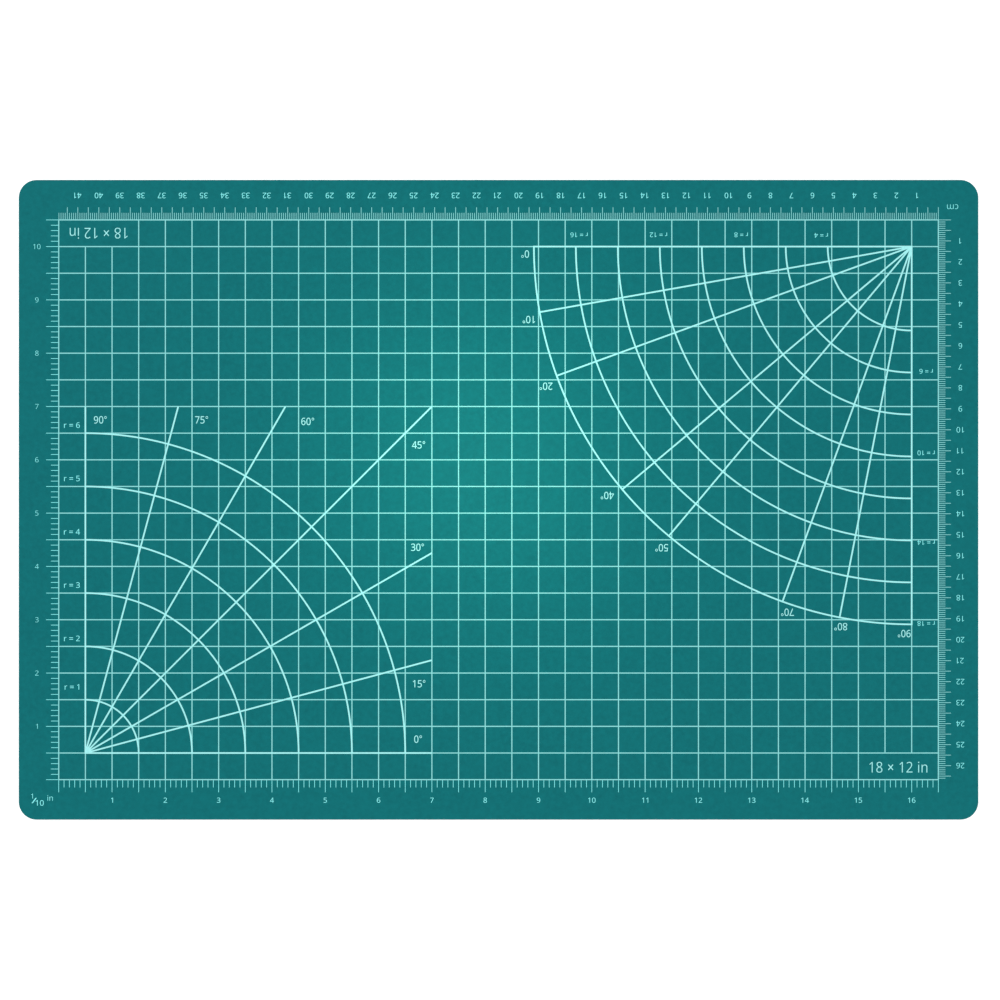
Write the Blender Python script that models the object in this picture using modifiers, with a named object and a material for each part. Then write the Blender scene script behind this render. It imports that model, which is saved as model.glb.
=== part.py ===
"""Self healing cutting mat, 18 x 12 inch, as five bonded plies under a printed layout.

Metres, +Z up. The origin is at the centre of the underside, +X runs along the long side and +Y along the
short side. The inch scales start at the lower left corner of the grid and read from the side at -Y. The
centimetre scales start at the upper right corner and read from +Y, so each is drawn once about a corner at
0 and the second is placed with half a turn.
"""

import math

import bmesh
import bpy
from mathutils import Vector

INCH = 0.0254
CENTIMETRE = 0.01

# The slab
LENGTH = 18 * INCH
WIDTH = 12 * INCH
CORNER_RADIUS = 0.0085
CORNER_STEPS = 8

# Plies: with the four bonds they add up to 3 mm
HEALING_PLY = 0.00085
CUSHION_PLY = 0.00035
CORE_PLY = 0.0005
BOND_GAP = 0.000025

# The grid, whose border leaves an even margin all round
MARGIN = 0.75 * INCH
GRID_PITCH = 0.5 * INCH
GRID_LENGTH = LENGTH - 2 * MARGIN
GRID_WIDTH = WIDTH - 2 * MARGIN
COLUMNS = round(GRID_LENGTH / GRID_PITCH)
ROWS = round(GRID_WIDTH / GRID_PITCH)
LABEL_COLUMNS = 3
HALF_LINE = 0.00025

# Ink films are stacked, because lines that cross are separate nodes
INK_FILM = 0.00003
INK_GAP = 0.00001

# Rulers: a tick each tenth of an inch, and each half centimetre
HALF_TICK = 0.00015
LONG_TICK = 0.006
INCH_SHORT_TICK = 0.0037
INCH_TICK_PITCH = 0.1 * INCH
CENTIMETRE_TICK_PITCH = 0.5 * CENTIMETRE
TICKS_PER_LONG_TICK = 5

# Protractors, one grid square in from their corners
ARC_STEP = math.radians(5)
INCH_RADII = [number * INCH for number in range(1, 7)]
INCH_RAYS = [math.radians(angle) for angle in (0, 15, 30, 45, 60, 75, 90)]
INCH_SQUARE = 6.5 * INCH
CENTIMETRE_RADII = [number * CENTIMETRE for number in range(4, 20, 2)]
# The ray that is labelled 80 is printed at 79 degrees
CENTIMETRE_RAYS = [math.radians(angle) for angle in (0, 10, 20, 40, 50, 70, 79, 90)]

ROUNDING = 0.01

TEAL = (0.008, 0.160, 0.168)
CUSHION_GREY = (0.42, 0.45, 0.44)
CORE_WHITE = (0.72, 0.74, 0.70)
MINT = (0.42, 0.78, 0.75)


def clear_scene():
    for thing in list(bpy.data.objects):
        bpy.data.objects.remove(thing, do_unlink=True)


def make_collection(name):
    collection = bpy.data.collections.new(name)
    bpy.context.scene.collection.children.link(collection)
    return collection


def make_material(name, colour, roughness):
    material = bpy.data.materials.new(name)
    material.use_nodes = True
    shader = material.node_tree.nodes["Principled BSDF"]
    shader.inputs["Base Color"].default_value = (*colour, 1)
    shader.inputs["Roughness"].default_value = roughness
    shader.inputs["Metallic"].default_value = 0
    return material


def flat_solid(name, outlines, thickness, material, collection):
    """A plate about z = 0. The first outline is its edge and the others are its holes."""
    curve = bpy.data.curves.new(name, "CURVE")
    curve.dimensions = "2D"
    curve.fill_mode = "BOTH"
    curve.extrude = thickness / 2
    for outline in outlines:
        spline = curve.splines.new("POLY")
        spline.points.add(len(outline) - 1)
        for point, (x, y) in zip(spline.points, outline):
            point.co = (x, y, 0, 1)
        spline.use_cyclic_u = True
    curve.materials.append(material)
    solid = bpy.data.objects.new(name, curve)
    collection.objects.link(solid)
    return solid


def flat_face_solid(name, outline, thickness, material, collection):
    """A plate about z = 0 with one outline of many corners, as one face made thick."""
    shape = bmesh.new()
    shape.faces.new([shape.verts.new((x, y, 0)) for x, y in outline])
    mesh = bpy.data.meshes.new(name)
    shape.to_mesh(mesh)
    shape.free()
    mesh.materials.append(material)
    solid = bpy.data.objects.new(name, mesh)
    solidify = solid.modifiers.new("thickness", "SOLIDIFY")
    solidify.thickness = thickness
    solidify.offset = 0
    collection.objects.link(solid)
    return solid


def arc(radius, start, end, steps):
    angles = [start + (end - start) * step / steps for step in range(steps + 1)]
    return [(radius * math.cos(angle), radius * math.sin(angle)) for angle in angles]


def rectangle(left, bottom, right, top):
    return [(left, bottom), (right, bottom), (right, top), (left, top)]


def slab_outline():
    """The rectangle with a quarter circle at each corner, about the slab's centre."""
    outline = []
    centre_x = LENGTH / 2 - CORNER_RADIUS
    centre_y = WIDTH / 2 - CORNER_RADIUS
    for turn, (side_x, side_y) in enumerate([(1, 1), (-1, 1), (-1, -1), (1, -1)]):
        corner = arc(CORNER_RADIUS, math.pi / 2 * turn, math.pi / 2 * (turn + 1), CORNER_STEPS)
        outline += [(side_x * centre_x + x, side_y * centre_y + y) for x, y in corner]
    return outline


def build_plies(materials, collection):
    """Five plies of one outline, each a bond's gap above the last. Returns the height of the top face."""
    plies = [
        ("bottom_healing_layer", HEALING_PLY, "teal_pvc"),
        ("lower_cushion_layer", CUSHION_PLY, "cushion_pvc"),
        ("rigid_core", CORE_PLY, "core_sheet"),
        ("upper_cushion_layer", CUSHION_PLY, "cushion_pvc"),
        ("top_healing_layer", HEALING_PLY, "teal_pvc"),
    ]
    height = 0
    for name, thickness, slot in plies:
        ply = flat_solid(name, [slab_outline()], thickness, materials[slot], collection)
        ply.location.z = height + thickness / 2
        height += thickness + BOND_GAP
    return height - BOND_GAP


def grid_frame():
    """The outer edge of the border lines, about the grid's lower left corner."""
    return rectangle(-HALF_LINE, -HALF_LINE, GRID_LENGTH + HALF_LINE, GRID_WIDTH + HALF_LINE)


def label_cell_hole():
    """The upper left opening: a label cell, with the lines that stop below it standing up into it."""
    hole = []
    for column in range(LABEL_COLUMNS):
        left = column * GRID_PITCH + HALF_LINE
        right = (column + 1) * GRID_PITCH - HALF_LINE
        hole += [(left, HALF_LINE), (right, HALF_LINE)]
        if column < LABEL_COLUMNS - 1:
            line_end = GRID_WIDTH - GRID_PITCH
            hole += [(right, line_end), (right + 2 * HALF_LINE, line_end)]
    cell_top = GRID_WIDTH - HALF_LINE
    hole += [(LABEL_COLUMNS * GRID_PITCH - HALF_LINE, cell_top), (HALF_LINE, cell_top)]
    return hole


def upright_line_outlines():
    """An opening between each two upright lines, and a label cell in two corners."""
    upper_left_cell = label_cell_hole()
    lower_right_cell = [(GRID_LENGTH - x, GRID_WIDTH - y) for x, y in upper_left_cell]
    outlines = [grid_frame(), upper_left_cell, lower_right_cell]
    for column in range(LABEL_COLUMNS, COLUMNS - LABEL_COLUMNS):
        left = column * GRID_PITCH + HALF_LINE
        right = (column + 1) * GRID_PITCH - HALF_LINE
        outlines.append(rectangle(left, HALF_LINE, right, GRID_WIDTH - HALF_LINE))
    return outlines


def cross_line_outlines():
    """An opening between each two cross lines."""
    outlines = [grid_frame()]
    for row in range(ROWS):
        bottom = row * GRID_PITCH + HALF_LINE
        top = (row + 1) * GRID_PITCH - HALF_LINE
        outlines.append(rectangle(HALF_LINE, bottom, GRID_LENGTH - HALF_LINE, top))
    return outlines


def toothed_edge(length, pitch, short_tick):
    """The edge of a scale that runs from 0 along +X, with its ticks standing out along +Y."""
    edge = []
    for number in range(math.floor(length / pitch + ROUNDING) + 1):
        left = number * pitch - HALF_TICK
        right = number * pitch + HALF_TICK
        reach = short_tick if number % TICKS_PER_LONG_TICK else LONG_TICK
        edge += [(left, HALF_LINE), (left, reach), (right, reach), (right, HALF_LINE)]
    return edge


def ruler_outline(pitch, short_tick):
    """Two toothed bars that meet at the zero corner, one along +X and one along +Y."""
    bottom_edge = [(x, -y) for x, y in toothed_edge(GRID_LENGTH, pitch, short_tick)]
    side_edge = [(-y, x) for x, y in toothed_edge(GRID_WIDTH, pitch, short_tick)]
    bottom_end = bottom_edge[-1][0]
    side_end = side_edge[-1][1]
    inner_edge = [(bottom_end, HALF_LINE), (HALF_LINE, HALF_LINE), (HALF_LINE, side_end)]
    return side_edge[::-1] + bottom_edge + inner_edge


def arc_between_rays(radius, first_ray, second_ray):
    """The stretch of an arc between the near edges of two rays."""
    edge_turn = math.asin(HALF_LINE / radius)
    steps = math.ceil((second_ray - first_ray) / ARC_STEP - ROUNDING)
    return arc(radius, first_ray + edge_turn, second_ray - edge_turn, steps)


def protractor_holes(radii, rays):
    """The openings between the rays and the arcs, about a centre at 0."""
    holes = []
    for first_ray, second_ray in zip(rays, rays[1:]):
        bisector = (first_ray + second_ray) / 2
        tip_radius = HALF_LINE / math.sin((second_ray - first_ray) / 2)
        tip = [(tip_radius * math.cos(bisector), tip_radius * math.sin(bisector))]
        holes.append(tip + arc_between_rays(radii[0] - HALF_LINE, first_ray, second_ray))
        for inner_radius, outer_radius in zip(radii, radii[1:]):
            inner_edge = arc_between_rays(inner_radius + HALF_LINE, first_ray, second_ray)
            outer_edge = arc_between_rays(outer_radius - HALF_LINE, first_ray, second_ray)
            holes.append(inner_edge + outer_edge[::-1])
    return holes


def ray_end(angle, radius):
    """The two corners of a ray's square end."""
    along = Vector((math.cos(angle), math.sin(angle)))
    across = Vector((-along.y, along.x)) * HALF_LINE
    return [(along * radius - across)[:], (along * radius + across)[:]]


def protractor_edge(radii, rays, ray_radii):
    """The outer edge of a quarter protractor about 0: its rim, and the rays where they run past it."""
    rim = radii[-1] + HALF_LINE
    edge = [(-HALF_LINE, -HALF_LINE)]
    for number, (angle, ray_radius) in enumerate(zip(rays, ray_radii)):
        edge += ray_end(angle, ray_radius)
        if number < len(rays) - 1:
            edge += arc_between_rays(rim, angle, rays[number + 1])
    return edge


def inch_protractor_outlines():
    """Rays out to a square past the last arc."""
    ray_radii = [INCH_SQUARE / max(math.cos(angle), math.sin(angle)) for angle in INCH_RAYS]
    edge = protractor_edge(INCH_RADII, INCH_RAYS, ray_radii)
    return [edge] + protractor_holes(INCH_RADII, INCH_RAYS)


def centimetre_protractor_outlines():
    """Rays that stop at the last arc, half a line's width proud of it."""
    ray_radii = [CENTIMETRE_RADII[-1] + 2 * HALF_LINE] * len(CENTIMETRE_RAYS)
    edge = protractor_edge(CENTIMETRE_RADII, CENTIMETRE_RAYS, ray_radii)
    return [edge] + protractor_holes(CENTIMETRE_RADII, CENTIMETRE_RAYS)


def put_on_film(solid, film, top_face, place, turn):
    """Lays a piece of ink on film 0, 1 or 2 above the top face."""
    solid.location = place
    solid.location.z = top_face + INK_GAP + film * (INK_FILM + INK_GAP) + INK_FILM / 2
    solid.rotation_euler.z = turn


def build_print(top_face, ink, parts):
    """The ink, in three films one above the other, so that lines that cross don't meet."""
    cross_lines = flat_solid("cross_grid_lines", cross_line_outlines(), INK_FILM, ink, parts)
    upright_lines = flat_solid("upright_grid_lines", upright_line_outlines(), INK_FILM, ink, parts)
    inch_scale = ruler_outline(INCH_TICK_PITCH, INCH_SHORT_TICK)
    inch_ruler = flat_face_solid("inch_ruler", inch_scale, INK_FILM, ink, parts)
    centimetre_scale = ruler_outline(CENTIMETRE_TICK_PITCH, LONG_TICK)
    centimetre_ruler = flat_face_solid("centimetre_ruler", centimetre_scale, INK_FILM, ink, parts)
    inch_protractor = flat_solid("inch_protractor", inch_protractor_outlines(), INK_FILM, ink, parts)
    centimetre_protractor = flat_solid(
        "centimetre_protractor", centimetre_protractor_outlines(), INK_FILM, ink, parts
    )
    lower_left = Vector((-GRID_LENGTH / 2, -GRID_WIDTH / 2, 0))
    upper_right = -lower_left
    one_square = Vector((GRID_PITCH, GRID_PITCH, 0))
    put_on_film(cross_lines, 0, top_face, lower_left, 0)
    put_on_film(upright_lines, 1, top_face, lower_left, 0)
    put_on_film(inch_ruler, 2, top_face, lower_left, 0)
    put_on_film(centimetre_ruler, 2, top_face, upper_right, math.pi)
    put_on_film(inch_protractor, 2, top_face, lower_left + one_square, 0)
    put_on_film(centimetre_protractor, 2, top_face, upper_right - one_square, math.pi)


def main():
    clear_scene()
    parts = make_collection("self_healing_mat")
    materials = {
        "teal_pvc": make_material("teal_pvc", TEAL, 0.6),
        "cushion_pvc": make_material("cushion_pvc", CUSHION_GREY, 0.7),
        "core_sheet": make_material("core_sheet", CORE_WHITE, 0.5),
        "mint_ink": make_material("mint_ink", MINT, 0.55),
    }
    top_face = build_plies(materials, parts)
    build_print(top_face, materials["mint_ink"], parts)


main()
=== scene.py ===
"""Self healing cutting mat, 18 x 12 inch: the visual model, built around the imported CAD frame.

Metres, +Z up, in the CAD's own frame: the origin is at the centre of the underside, +X along the long side.
Places in the print are worked out from the grid's corners, which come from the frame. The inch scales start
at the lower left corner and read from the side at -Y. The centimetre scales start at the upper right corner
and read from the side at +Y.
"""

import math
import string

import bmesh
import bpy
from mathutils import Matrix, Vector


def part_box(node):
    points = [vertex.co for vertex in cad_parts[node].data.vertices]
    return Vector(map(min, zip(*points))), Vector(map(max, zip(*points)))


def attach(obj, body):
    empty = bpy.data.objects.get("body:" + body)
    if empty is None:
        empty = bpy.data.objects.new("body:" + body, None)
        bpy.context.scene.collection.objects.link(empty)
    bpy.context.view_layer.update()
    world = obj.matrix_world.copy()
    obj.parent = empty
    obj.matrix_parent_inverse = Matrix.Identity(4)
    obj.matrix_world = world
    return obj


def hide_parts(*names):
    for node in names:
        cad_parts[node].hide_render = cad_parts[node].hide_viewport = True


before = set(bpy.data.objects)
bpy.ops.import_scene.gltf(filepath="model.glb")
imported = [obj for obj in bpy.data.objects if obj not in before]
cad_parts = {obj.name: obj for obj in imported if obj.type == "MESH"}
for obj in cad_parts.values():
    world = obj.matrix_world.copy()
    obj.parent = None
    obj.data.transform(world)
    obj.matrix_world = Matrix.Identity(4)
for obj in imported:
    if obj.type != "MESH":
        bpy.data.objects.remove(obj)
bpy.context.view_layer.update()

INCH = 0.0254
CENTIMETRE = 0.01
MILLIMETRE = 0.001
QUARTER_TURN = math.pi / 2
HALF_TURN = math.pi
# The part of a step that counts as rounding where whole steps are counted
ROUNDING = 0.01

# Slab
CORNER_RADIUS = 0.0085
CORNER_STEPS = 24
CUSHION_RECESS = 0.00004
EDGE_ROUNDING = 0.00012
EDGE_STEPS = 3
SHARP_ANGLE = math.radians(40)

# Grid
GRID_PITCH = 0.5 * INCH
HALF_LINE = 0.00025
LABEL_CELL_COLUMNS = 3

# Rulers: the ticks stand clear of the grid's border by a small gap
LONG_TICK = 0.006
TICKS_PER_LONG_TICK = 5
TICK_GAP = 0.00001
INCH_TICKS = {"pitch": 0.1 * INCH, "short_tick": 0.0037, "width": 0.00026}
CENTIMETRE_TICKS = {"pitch": 0.1 * CENTIMETRE, "short_tick": 0.00335, "width": 0.00028}

# Protractors
HALF_ARC_LINE = 0.00038
ARC_STEP = math.radians(1)
RAY_OVERSHOOT = 0.00002
INCH_RADII = [number * INCH for number in range(1, 7)]
INCH_ANGLES = (0, 15, 30, 45, 60, 75, 90)
INCH_SQUARE = 6.5 * INCH
CENTIMETRE_RADII = [number * CENTIMETRE for number in range(4, 20, 2)]
# The ray that is labelled 80 is printed at 79 degrees
CENTIMETRE_ANGLES = (0, 10, 20, 40, 50, 70, 79, 90)

# Pigments, from dark to pale
TEALS = (0.0026, 0.1140, 0.1245), (0.0031, 0.1230, 0.1315), (0.0035, 0.1450, 0.1560)
GREYS = (0.34, 0.38, 0.37), (0.46, 0.50, 0.48)
WHITES = (0.66, 0.68, 0.64), (0.78, 0.79, 0.76)
FLOOR_WHITES = (0.93, 0.93, 0.93), (0.95, 0.95, 0.95)

# The same ink on the wide lines, on the fine lines and on the letters, each from thin to thick
FILM_COLOURS = (0.275, 0.69, 0.685), (0.305, 0.74, 0.735), (0.335, 0.79, 0.785)
HAIRLINE_COLOURS = (0.190, 0.555, 0.55), (0.212, 0.60, 0.595), (0.235, 0.645, 0.64)
LETTER_COLOURS = (0.190, 0.75, 0.75), (0.210, 0.795, 0.795), (0.230, 0.84, 0.84)

# Lettering: plain sans-serif characters, whose figures stand 0.714 of the font's size
SANS_ZERO = 0x1D7E2
SANS_SMALL_A = 0x1D5BA
FIGURE_HEIGHT = 0.714
FONT_STEPS = 3
LETTER_NARROWING = 0.9
SIZE_TEXT = "18 × 12 in"
INCH_NUMERAL = {"height": 0.0024, "narrowing": 1.05}
CENTIMETRE_NUMERAL = {"height": 0.0026, "narrowing": 1.0, "turn": HALF_TURN}
ANGLE_LABEL = {"height": 0.0034, "weight": 0.004}
SIZE_LABEL = {"height": 0.0051, "weight": -0.008, "narrowing": 0.88}
# In a curve's own units: millimetres for a protractor, the font's size for a text
WELD_DISTANCE = 0.00001

# Studio: the floor lies just under the mat, and the view is a little to the right of the mat's centre
FLOOR_HALF_WIDTH = 6
FLOOR_HEIGHT = -0.0002
WORLD_STRENGTH = 0.95
VIEW_WIDTH = 0.4765
VIEW_CENTRE = (0.0007, -0.0001)

slab_low, slab_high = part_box("top_healing_layer")
grid_low, grid_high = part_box("upright_grid_lines")
grid_corner = Vector((grid_low.x + HALF_LINE, grid_low.y + HALF_LINE))
grid_size = Vector((grid_high.x - HALF_LINE, grid_high.y - HALF_LINE)) - grid_corner
film_low, film_high = (corner.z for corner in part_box("inch_ruler"))
scene = bpy.context.scene


# ---------------------------------------------------------------- materials


def add_node(material, kind, **settings):
    node = material.node_tree.nodes.new(kind)
    for name, value in settings.items():
        setattr(node, name, value)
    return node


def link(material, output, entry):
    material.node_tree.links.new(output, entry)


def add_noise(material, coordinates, scale, detail, roughness=0.5):
    """Scale is in features to the metre."""
    noise = add_node(material, "ShaderNodeTexNoise")
    noise.inputs["Scale"].default_value = scale
    noise.inputs["Detail"].default_value = detail
    noise.inputs["Roughness"].default_value = roughness
    link(material, coordinates, noise.inputs["Vector"])
    return noise.outputs["Fac"]


def add_range(material, value, low=0, high=1):
    """Spreads a noise, which mostly lies between 0.3 and 0.7, over a range."""
    spread = add_node(material, "ShaderNodeMapRange")
    spread.inputs["From Min"].default_value = 0.3
    spread.inputs["From Max"].default_value = 0.7
    spread.inputs["To Min"].default_value = low
    spread.inputs["To Max"].default_value = high
    link(material, value, spread.inputs["Value"])
    return spread.outputs["Result"]


def add_colour_mix(material, factor, first, second):
    """Each of the colours is a tuple, or another node's output."""
    mix = add_node(material, "ShaderNodeMix", data_type="RGBA")
    link(material, factor, mix.inputs["Factor"])
    for socket, colour in ((mix.inputs["A"], first), (mix.inputs["B"], second)):
        if isinstance(colour, tuple):
            socket.default_value = (*colour, 1)
        else:
            link(material, colour, socket)
    return mix.outputs["Result"]


def add_bump(material, shader, heights, distance):
    bump = add_node(material, "ShaderNodeBump")
    bump.inputs["Strength"].default_value = 1
    bump.inputs["Distance"].default_value = distance
    link(material, heights, bump.inputs["Height"])
    link(material, bump.outputs["Normal"], shader.inputs["Normal"])


def start_material(name, specular):
    material = bpy.data.materials.new(name)
    material.use_nodes = True
    shader = material.node_tree.nodes["Principled BSDF"]
    shader.inputs["Specular IOR Level"].default_value = specular
    shader.inputs["Metallic"].default_value = 0
    coordinates = add_node(material, "ShaderNodeTexCoord").outputs["Object"]
    return material, shader, coordinates


def make_teal_pvc():
    """Soft PVC with a fine calendered grain, marbled over millimetres and cloudy over centimetres."""
    material, shader, coordinates = start_material("teal_pvc_grain", specular=0.05)
    clouds = add_range(material, add_noise(material, coordinates, scale=55, detail=2))
    marbling = add_range(material, add_noise(material, coordinates, scale=420, detail=5, roughness=0.7))
    grain = add_noise(material, coordinates, scale=2600, detail=2)
    dark, middling, pale = TEALS
    cloudy = add_colour_mix(material, clouds, dark, middling)
    pigment = add_colour_mix(material, marbling, cloudy, pale)
    link(material, pigment, shader.inputs["Base Color"])
    link(material, add_range(material, grain, low=0.5, high=0.66), shader.inputs["Roughness"])
    add_bump(material, shader, grain, distance=0.00004)
    return material


def make_mint_ink(name, colours):
    """Screen ink with a slight mottle, which also drifts a little from place to place."""
    material, shader, coordinates = start_material(name, specular=0.15)
    mottle = add_range(material, add_noise(material, coordinates, scale=1400, detail=3))
    drift = add_range(material, add_noise(material, coordinates, scale=60, detail=2))
    thin, middling, thick = colours
    uneven = add_colour_mix(material, drift, thin, middling)
    ink = add_colour_mix(material, mottle, uneven, thick)
    link(material, ink, shader.inputs["Base Color"])
    link(material, add_range(material, mottle, low=0.45, high=0.6), shader.inputs["Roughness"])
    add_bump(material, shader, mottle, distance=0.00001)
    return material


def make_cushion_pvc():
    material, shader, coordinates = start_material("grey_tie_sheet", specular=0.2)
    marbling = add_range(material, add_noise(material, coordinates, scale=700, detail=3))
    link(material, add_colour_mix(material, marbling, *GREYS), shader.inputs["Base Color"])
    link(material, add_range(material, marbling, low=0.6, high=0.75), shader.inputs["Roughness"])
    add_bump(material, shader, marbling, distance=0.00003)
    return material


def make_core_sheet():
    material, shader, coordinates = start_material("white_core_sheet", specular=0.3)
    flecks = add_range(material, add_noise(material, coordinates, scale=1500, detail=2))
    link(material, add_colour_mix(material, flecks, *WHITES), shader.inputs["Base Color"])
    link(material, add_range(material, flecks, low=0.4, high=0.55), shader.inputs["Roughness"])
    add_bump(material, shader, flecks, distance=0.00002)
    return material


def make_studio_floor():
    """White paper that glows a little, so that it stays white under the lamps."""
    material, shader, coordinates = start_material("studio_floor", specular=0.1)
    soft = add_range(material, add_noise(material, coordinates, scale=3, detail=1))
    link(material, add_colour_mix(material, soft, *FLOOR_WHITES), shader.inputs["Base Color"])
    shader.inputs["Roughness"].default_value = 0.9
    shader.inputs["Emission Color"].default_value = (1, 1, 1, 1)
    shader.inputs["Emission Strength"].default_value = 0.3
    return material


# ---------------------------------------------------------------- solids and pieces


def arc(radius, start, end, steps):
    """The points of an arc about the origin, with both its ends."""
    angles = [start + (end - start) * step / steps for step in range(steps + 1)]
    return [(radius * math.cos(angle), radius * math.sin(angle)) for angle in angles]


def rounded_rectangle(half_length, half_width, radius):
    outline = []
    centre = (half_length - radius, half_width - radius)
    for turn, (side_x, side_y) in enumerate([(1, 1), (-1, 1), (-1, -1), (1, -1)]):
        corner = arc(radius, QUARTER_TURN * turn, QUARTER_TURN * (turn + 1), CORNER_STEPS)
        outline += [(side_x * centre[0] + x, side_y * centre[1] + y) for x, y in corner]
    return outline


def add_prism(shape, outline, low, high):
    """Adds a closed upright prism to a bmesh."""
    lower = [shape.verts.new((x, y, low)) for x, y in outline]
    upper = [shape.verts.new((x, y, high)) for x, y in outline]
    shape.faces.new(lower[::-1])
    shape.faces.new(upper)
    for here in range(len(outline)):
        after = (here + 1) % len(outline)
        shape.faces.new((lower[here], lower[after], upper[after], upper[here]))


def finish_mesh(name, shape):
    """A mesh from a bmesh, which is used up."""
    mesh = bpy.data.meshes.new(name)
    shape.to_mesh(mesh)
    shape.free()
    return mesh


def add_object(name, data):
    added = bpy.data.objects.new(name, data)
    scene.collection.objects.link(added)
    return added


def add_piece(name, mesh, material):
    """A piece that rides on the mat, hung from the root body, with a material of its own."""
    mesh.materials.clear()
    mesh.materials.append(material)
    piece = add_object(name, mesh)
    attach(piece, "root")
    return piece


def add_print(name, mesh, ink):
    return add_piece(name, mesh, ink)


# ---------------------------------------------------------------- plies


def make_ply(node, material, recess=0):
    """A finer copy of one of the CAD plies, with its cut edges slightly rounded."""
    low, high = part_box(node)
    outline = rounded_rectangle(high.x - recess, high.y - recess, CORNER_RADIUS - recess)
    shape = bmesh.new()
    add_prism(shape, outline, low.z, high.z)
    rims = [edge for edge in shape.edges if edge.verts[0].co.z == edge.verts[1].co.z]
    bmesh.ops.bevel(shape, geom=rims, offset=EDGE_ROUNDING, segments=EDGE_STEPS, affect="EDGES", profile=0.5)
    bmesh.ops.recalc_face_normals(shape, faces=shape.faces)
    for face in shape.faces:
        face.smooth = True
    ply = add_piece(node + "_sheet", finish_mesh(node + "_sheet", shape), material)
    ply.data.set_sharp_from_angle(angle=SHARP_ANGLE)
    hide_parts(node)


def make_plies():
    teal = make_teal_pvc()
    cushion = make_cushion_pvc()
    make_ply("bottom_healing_layer", teal)
    make_ply("lower_cushion_layer", cushion, CUSHION_RECESS)
    make_ply("rigid_core", make_core_sheet())
    make_ply("upper_cushion_layer", cushion, CUSHION_RECESS)
    make_ply("top_healing_layer", teal)


# ---------------------------------------------------------------- grid and rulers


def ink_grid(ink):
    """The grid's lines keep their CAD shape."""
    for node in ("cross_grid_lines", "upright_grid_lines"):
        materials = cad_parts[node].data.materials
        materials.clear()
        materials.append(ink)


def add_ticks(shape, place, length, pitch, short_tick, width):
    """Bars from a scale's zero along +X, standing out along +Y, put in place by a matrix."""
    for number in range(math.floor(length / pitch + ROUNDING) + 1):
        reach = short_tick if number % TICKS_PER_LONG_TICK else LONG_TICK
        left = number * pitch - width / 2
        bottom = HALF_LINE + TICK_GAP
        corners = [(left, bottom), (left + width, bottom), (left + width, reach), (left, reach)]
        placed = [(place @ Vector((x, y, 0))).to_2d() for x, y in corners]
        add_prism(shape, placed, film_low, film_high)


def make_ruler(node, zero, turn, ticks, ink):
    """A scale below and a scale to the left of its zero corner, turned as a whole about that corner."""
    corner = Matrix.Translation(zero.to_3d()) @ Matrix.Rotation(turn, 4, "Z")
    below = corner @ Matrix.Diagonal((1, -1, 1, 1))
    beside = corner @ Matrix.Rotation(QUARTER_TURN, 4, "Z")
    shape = bmesh.new()
    add_ticks(shape, below, grid_size.x, **ticks)
    add_ticks(shape, beside, grid_size.y, **ticks)
    bmesh.ops.recalc_face_normals(shape, faces=shape.faces)
    ruler = add_print(node + "_ticks", finish_mesh(node + "_ticks", shape), ink)
    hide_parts(node)


# ---------------------------------------------------------------- protractors


def arc_between_rays(radius, first_ray, second_ray):
    """The stretch of an arc between the near edges of two rays."""
    edge_turn = math.asin(HALF_ARC_LINE / radius)
    steps = math.ceil((second_ray - first_ray) / ARC_STEP - ROUNDING)
    return arc(radius, first_ray + edge_turn, second_ray - edge_turn, steps)


def ray_end(angle, radius):
    along = Vector((math.cos(angle), math.sin(angle)))
    across = Vector((-along.y, along.x)) * HALF_ARC_LINE
    return [(along * radius - across)[:], (along * radius + across)[:]]


def protractor_edge(radii, rays, ray_radii):
    """The outline, from the origin's corner round the ends of the rays and the rim between them."""
    rim = radii[-1] + HALF_ARC_LINE
    edge = [(-HALF_ARC_LINE, -HALF_ARC_LINE)]
    for number, (angle, ray_radius) in enumerate(zip(rays, ray_radii)):
        edge += ray_end(angle, ray_radius)
        if number < len(rays) - 1:
            edge += arc_between_rays(rim, angle, rays[number + 1])
    return edge


def protractor_holes(radii, rays):
    """The openings between the lines: in each wedge a tip, and then one between each two arcs."""
    holes = []
    for first_ray, second_ray in zip(rays, rays[1:]):
        bisector = (first_ray + second_ray) / 2
        tip_radius = HALF_ARC_LINE / math.sin((second_ray - first_ray) / 2)
        tip = [(tip_radius * math.cos(bisector), tip_radius * math.sin(bisector))]
        holes.append(tip + arc_between_rays(radii[0] - HALF_ARC_LINE, first_ray, second_ray))
        for inner_radius, outer_radius in zip(radii, radii[1:]):
            inner_edge = arc_between_rays(inner_radius + HALF_ARC_LINE, first_ray, second_ray)
            outer_edge = arc_between_rays(outer_radius - HALF_ARC_LINE, first_ray, second_ray)
            holes.append(inner_edge + outer_edge[::-1])
    return holes


def curve_mesh(curve):
    """The mesh of a filled curve or a text, with its caps welded to its sides. The curve is used up."""
    drawn = add_object(curve.name, curve)
    evaluated = drawn.evaluated_get(bpy.context.evaluated_depsgraph_get())
    mesh = bpy.data.meshes.new_from_object(evaluated)
    bpy.data.objects.remove(drawn)
    shape = bmesh.new()
    shape.from_mesh(mesh)
    bmesh.ops.remove_doubles(shape, verts=shape.verts, dist=WELD_DISTANCE)
    shape.to_mesh(mesh)
    shape.free()
    return mesh


def plate_in_millimetres(name, outlines, thickness):
    """A flat plate with holes, from a 2D curve. The mesh is a thousand times too large."""
    curve = bpy.data.curves.new(name, "CURVE")
    curve.dimensions = "2D"
    curve.fill_mode = "BOTH"
    curve.extrude = thickness / 2 / MILLIMETRE
    for outline in outlines:
        spline = curve.splines.new("POLY")
        spline.points.add(len(outline) - 1)
        for point, (x, y) in zip(spline.points, outline):
            point.co = (x / MILLIMETRE, y / MILLIMETRE, 0, 1)
        spline.use_cyclic_u = True
    return curve_mesh(curve)


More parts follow.
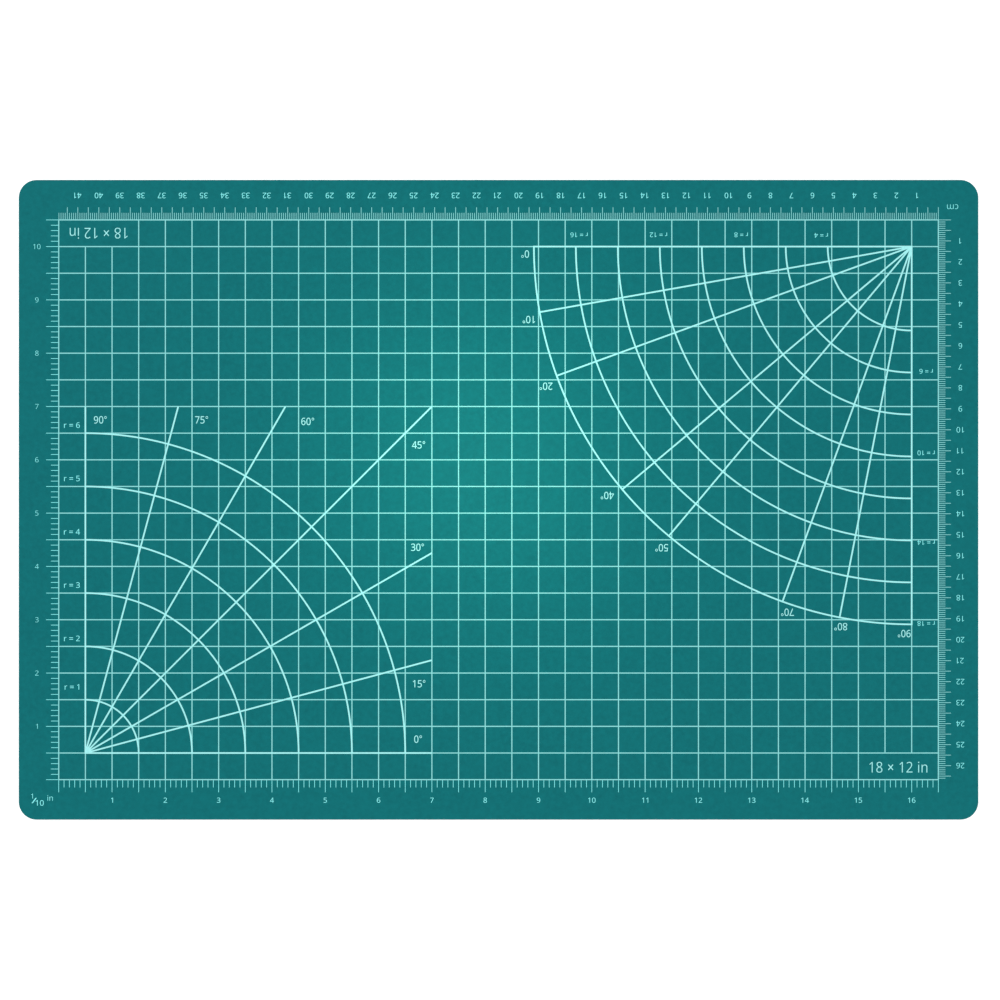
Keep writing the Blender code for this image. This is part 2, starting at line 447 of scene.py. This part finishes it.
def make_protractor(node, centre, turn, radii, angles, ray_radii, ink):
    rays = [math.radians(angle) for angle in angles]
    outlines = [protractor_edge(radii, rays, ray_radii)] + protractor_holes(radii, rays)
    mesh = plate_in_millimetres(node + "_lines", outlines, film_high - film_low)
    middle = Vector((centre.x, centre.y, (film_low + film_high) / 2))
    mesh.transform(Matrix.Translation(middle) @ Matrix.Rotation(turn, 4, "Z") @ Matrix.Scale(MILLIMETRE, 4))
    protractor = add_print(node + "_lines", mesh, ink)
    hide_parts(node)


def make_inch_protractor(centre, ink):
    """Its rays run on past the last arc, to the sides of a square."""
    turns = [math.radians(angle) for angle in INCH_ANGLES]
    ray_radii = [INCH_SQUARE / max(math.cos(turn), math.sin(turn)) for turn in turns]
    make_protractor("inch_protractor", centre, 0, INCH_RADII, INCH_ANGLES, ray_radii, ink)


def make_centimetre_protractor(centre, ink):
    """Its rays end at the outer edge of the last arc."""
    node = "centimetre_protractor"
    ray_radii = [CENTIMETRE_RADII[-1] + HALF_ARC_LINE + RAY_OVERSHOOT] * len(CENTIMETRE_ANGLES)
    make_protractor(node, centre, HALF_TURN, CENTIMETRE_RADII, CENTIMETRE_ANGLES, ray_radii, ink)


# ---------------------------------------------------------------- lettering


def in_sans(text):
    """The text with its figures and small letters changed for their mathematical sans-serif forms."""
    shifts = {str(figure): SANS_ZERO + figure for figure in range(10)}
    shifts.update({letter: SANS_SMALL_A + place for place, letter in enumerate(string.ascii_lowercase)})
    return text.translate(str.maketrans({old: chr(new) for old, new in shifts.items()}))


def add_text(shape, text, place, height, turn=0, weight=0, narrowing=LETTER_NARROWING):
    """Adds a text to a bmesh, with the middle of its box at a place in the print.

    Height is that of a figure. Weight moves the outlines out, in parts of the font's size.
    """
    size = height / FIGURE_HEIGHT
    curve = bpy.data.curves.new("lettering", "FONT")
    curve.body = in_sans(text)
    curve.resolution_u = FONT_STEPS
    curve.offset = weight
    curve.extrude = (film_high - film_low) / 2 / size
    mesh = curve_mesh(curve)
    columns = [vertex.co.x for vertex in mesh.vertices]
    lines = [vertex.co.y for vertex in mesh.vertices]
    middle = Vector(((min(columns) + max(columns)) / 2, (min(lines) + max(lines)) / 2, 0))
    home = Vector((place.x, place.y, (film_low + film_high) / 2))
    stretch = Matrix.Diagonal((size * narrowing, size, size, 1)) @ Matrix.Translation(-middle)
    mesh.transform(Matrix.Translation(home) @ Matrix.Rotation(turn, 4, "Z") @ stretch)
    shape.from_mesh(mesh)
    bpy.data.meshes.remove(mesh)


def make_lettering(name, entries, ink, **style):
    """One piece from a list of texts and their places, which share a style."""
    shape = bmesh.new()
    for text, place in entries:
        add_text(shape, text, place, **style)
    add_print(name, finish_mesh(name, shape), ink)


def in_print(x, y):
    """A place in inches from the inch scales' zero, right and up."""
    return grid_corner + Vector((x, y)) * INCH


def from_zero(x, y):
    """A place in inches from the centimetre scales' zero, left and down."""
    return grid_corner + grid_size - Vector((x, y)) * INCH


def scale_numbers(length, unit):
    """The numbers along a scale, from 1."""
    return range(1, math.floor(length / unit) + 1)


def make_inch_lettering(ink, angle_ink):
    below = [(str(number), in_print(number, -0.385)) for number in scale_numbers(grid_size.x, INCH)]
    beside = [(str(number), in_print(-0.41, number)) for number in scale_numbers(grid_size.y, INCH)]
    make_lettering("inch_numerals_bottom", below, ink, **INCH_NUMERAL)
    make_lettering("inch_numerals_left", beside, ink, weight=-0.011, **INCH_NUMERAL)
    radii = [("r = 1", in_print(0.248, 1.74))]
    radii += [("r = " + str(number), in_print(0.248, number + 0.65)) for number in range(2, 7)]
    make_lettering("inch_radius_labels", radii, ink, height=0.0026, narrowing=1.04)
    angles = [
        ("0°", in_print(6.74, 0.76)),
        ("15°", in_print(6.76, 1.80)),
        ("30°", in_print(6.73, 4.36)),
        ("45°", in_print(6.75, 6.28)),
        ("60°", in_print(4.67, 6.72)),
        ("75°", in_print(2.68, 6.75)),
        ("90°", in_print(0.78, 6.75)),
    ]
    make_lettering("inch_angle_labels", angles, angle_ink, **ANGLE_LABEL)


def make_centimetre_lettering(ink, angle_ink):
    step = CENTIMETRE / INCH
    above_numbers = scale_numbers(grid_size.x, CENTIMETRE)
    beside_numbers = scale_numbers(grid_size.y, CENTIMETRE)
    above = [(str(number), from_zero(number * step, -0.458)) for number in above_numbers]
    beside = [(str(number), from_zero(-0.4125, number * step)) for number in beside_numbers]
    make_lettering("centimetre_numerals_top", above, ink, **CENTIMETRE_NUMERAL)
    make_lettering("centimetre_numerals_right", beside, ink, weight=-0.005, **CENTIMETRE_NUMERAL)
    radii = [
        ("r = 4", from_zero(2.20, 0.29)),
        ("r = 8", from_zero(3.70, 0.28)),
        ("r = 12", from_zero(5.25, 0.28)),
        ("r = 16", from_zero(6.74, 0.28)),
        ("r = 6", from_zero(0.23, 2.84)),
        ("r = 10", from_zero(0.23, 4.37)),
        ("r = 14", from_zero(0.23, 6.05)),
        ("r = 18", from_zero(0.23, 7.57)),
    ]
    make_lettering("centimetre_radius_labels", radii, ink, height=0.0022, turn=HALF_TURN, narrowing=1.04)
    angles = [
        ("0°", from_zero(7.75, 0.64)),
        ("10°", from_zero(7.68, 1.87)),
        ("20°", from_zero(7.36, 3.12)),
        ("40°", from_zero(6.21, 5.17)),
        ("50°", from_zero(5.19, 6.15)),
        ("70°", from_zero(2.83, 7.36)),
        ("80°", from_zero(1.83, 7.63)),
        ("90°", from_zero(0.64, 7.76)),
    ]
    make_lettering("centimetre_angle_labels", angles, angle_ink, turn=HALF_TURN, **ANGLE_LABEL)


def make_unit_labels(ink):
    """A tenth of an inch as a fraction at the lower left, and "cm" at the upper right."""
    shape = bmesh.new()
    add_text(shape, "1", in_print(-0.50, -0.308), height=0.0023)
    add_text(shape, "/", in_print(-0.46, -0.391), height=0.0026, narrowing=2.6)
    add_text(shape, "10", in_print(-0.357, -0.436), height=0.0026, narrowing=1.06)
    add_text(shape, "in", in_print(-0.161, -0.342), height=0.0026, weight=-0.007, narrowing=1.0)
    add_print("inch_unit_label", finish_mesh("inch_unit_label", shape), ink)
    unit = [("cm", from_zero(-0.268, -0.248))]
    style = {"height": 0.003, "weight": -0.012, "narrowing": 1.0, "turn": HALF_TURN}
    make_lettering("centimetre_unit_label", unit, ink, **style)


def make_size_labels(ink):
    """A plain size in the two open label cells."""
    across = (grid_size.x - LABEL_CELL_COLUMNS * GRID_PITCH / 2) / INCH
    make_lettering("size_label_lower", [(SIZE_TEXT, in_print(across, 0.235))], ink, **SIZE_LABEL)
    upper = [(SIZE_TEXT, from_zero(across, 0.25))]
    make_lettering("size_label_upper", upper, ink, turn=HALF_TURN, **SIZE_LABEL)


# ---------------------------------------------------------------- the mat


def make_mat():
    film_ink = make_mint_ink("mint_ink_film", FILM_COLOURS)
    hairline_ink = make_mint_ink("mint_ink_hairline", HAIRLINE_COLOURS)
    letter_ink = make_mint_ink("mint_ink_letter", LETTER_COLOURS)
    zero_of_inches = grid_corner
    zero_of_centimetres = grid_corner + grid_size
    one_square = Vector((GRID_PITCH, GRID_PITCH))
    make_plies()
    ink_grid(hairline_ink)
    make_ruler("inch_ruler", zero_of_inches, 0, INCH_TICKS, letter_ink)
    make_ruler("centimetre_ruler", zero_of_centimetres, HALF_TURN, CENTIMETRE_TICKS, hairline_ink)
    make_inch_protractor(zero_of_inches + one_square, film_ink)
    make_centimetre_protractor(zero_of_centimetres - one_square, film_ink)
    make_inch_lettering(letter_ink, film_ink)
    make_centimetre_lettering(letter_ink, film_ink)
    make_unit_labels(letter_ink)
    make_size_labels(film_ink)


# ---------------------------------------------------------------- the studio


def make_floor():
    shape = bmesh.new()
    bmesh.ops.create_grid(shape, x_segments=4, y_segments=4, size=FLOOR_HALF_WIDTH)
    floor = add_object("studio_floor", finish_mesh("studio_floor", shape))
    floor.data.materials.append(make_studio_floor())
    floor.location.z = FLOOR_HEIGHT


def make_softbox(name, place, size, power):
    """A round soft lamp that faces the mat's centre."""
    light = bpy.data.lights.new(name, "AREA")
    light.shape = "DISK"
    light.size = size
    light.energy = power
    softbox = add_object(name, light)
    softbox.location = place
    softbox.rotation_euler = (-Vector(place)).to_track_quat("-Z", "Y").to_euler()


def make_glow():
    """A small low spot, hung a little beyond the mat's centre, that lifts the middle of the mat."""
    light = bpy.data.lights.new("glow", "SPOT")
    light.energy = 0.285
    light.color = (0.55, 1.0, 0.72)
    light.spot_size = math.radians(132)
    light.spot_blend = 1
    light.shadow_soft_size = 0.02
    glow = add_object("glow", light)
    glow.location = (-0.009, 0.022, 0.113)


def make_studio():
    make_floor()
    world = bpy.data.worlds.new("studio")
    world.use_nodes = True
    background = world.node_tree.nodes["Background"]
    background.inputs["Color"].default_value = (1, 1, 1, 1)
    background.inputs["Strength"].default_value = WORLD_STRENGTH
    scene.world = world
    make_softbox("key", place=(-0.9, 0.9, 1.5), size=1.2, power=9)
    make_softbox("fill", place=(1.1, -0.8, 1.3), size=1.2, power=5)
    make_glow()
    scene.view_settings.view_transform = "Standard"


def make_camera():
    """Straight down, far enough for the mat's long side to fill nearly the whole width."""
    camera = bpy.data.cameras.new("camera")
    camera.lens = 85
    camera.sensor_width = 36
    height = slab_high.z + VIEW_WIDTH * camera.lens / camera.sensor_width
    viewer = add_object("camera", camera)
    viewer.location = (*VIEW_CENTRE, height)
    scene.camera = viewer


make_mat()
make_studio()
make_camera()
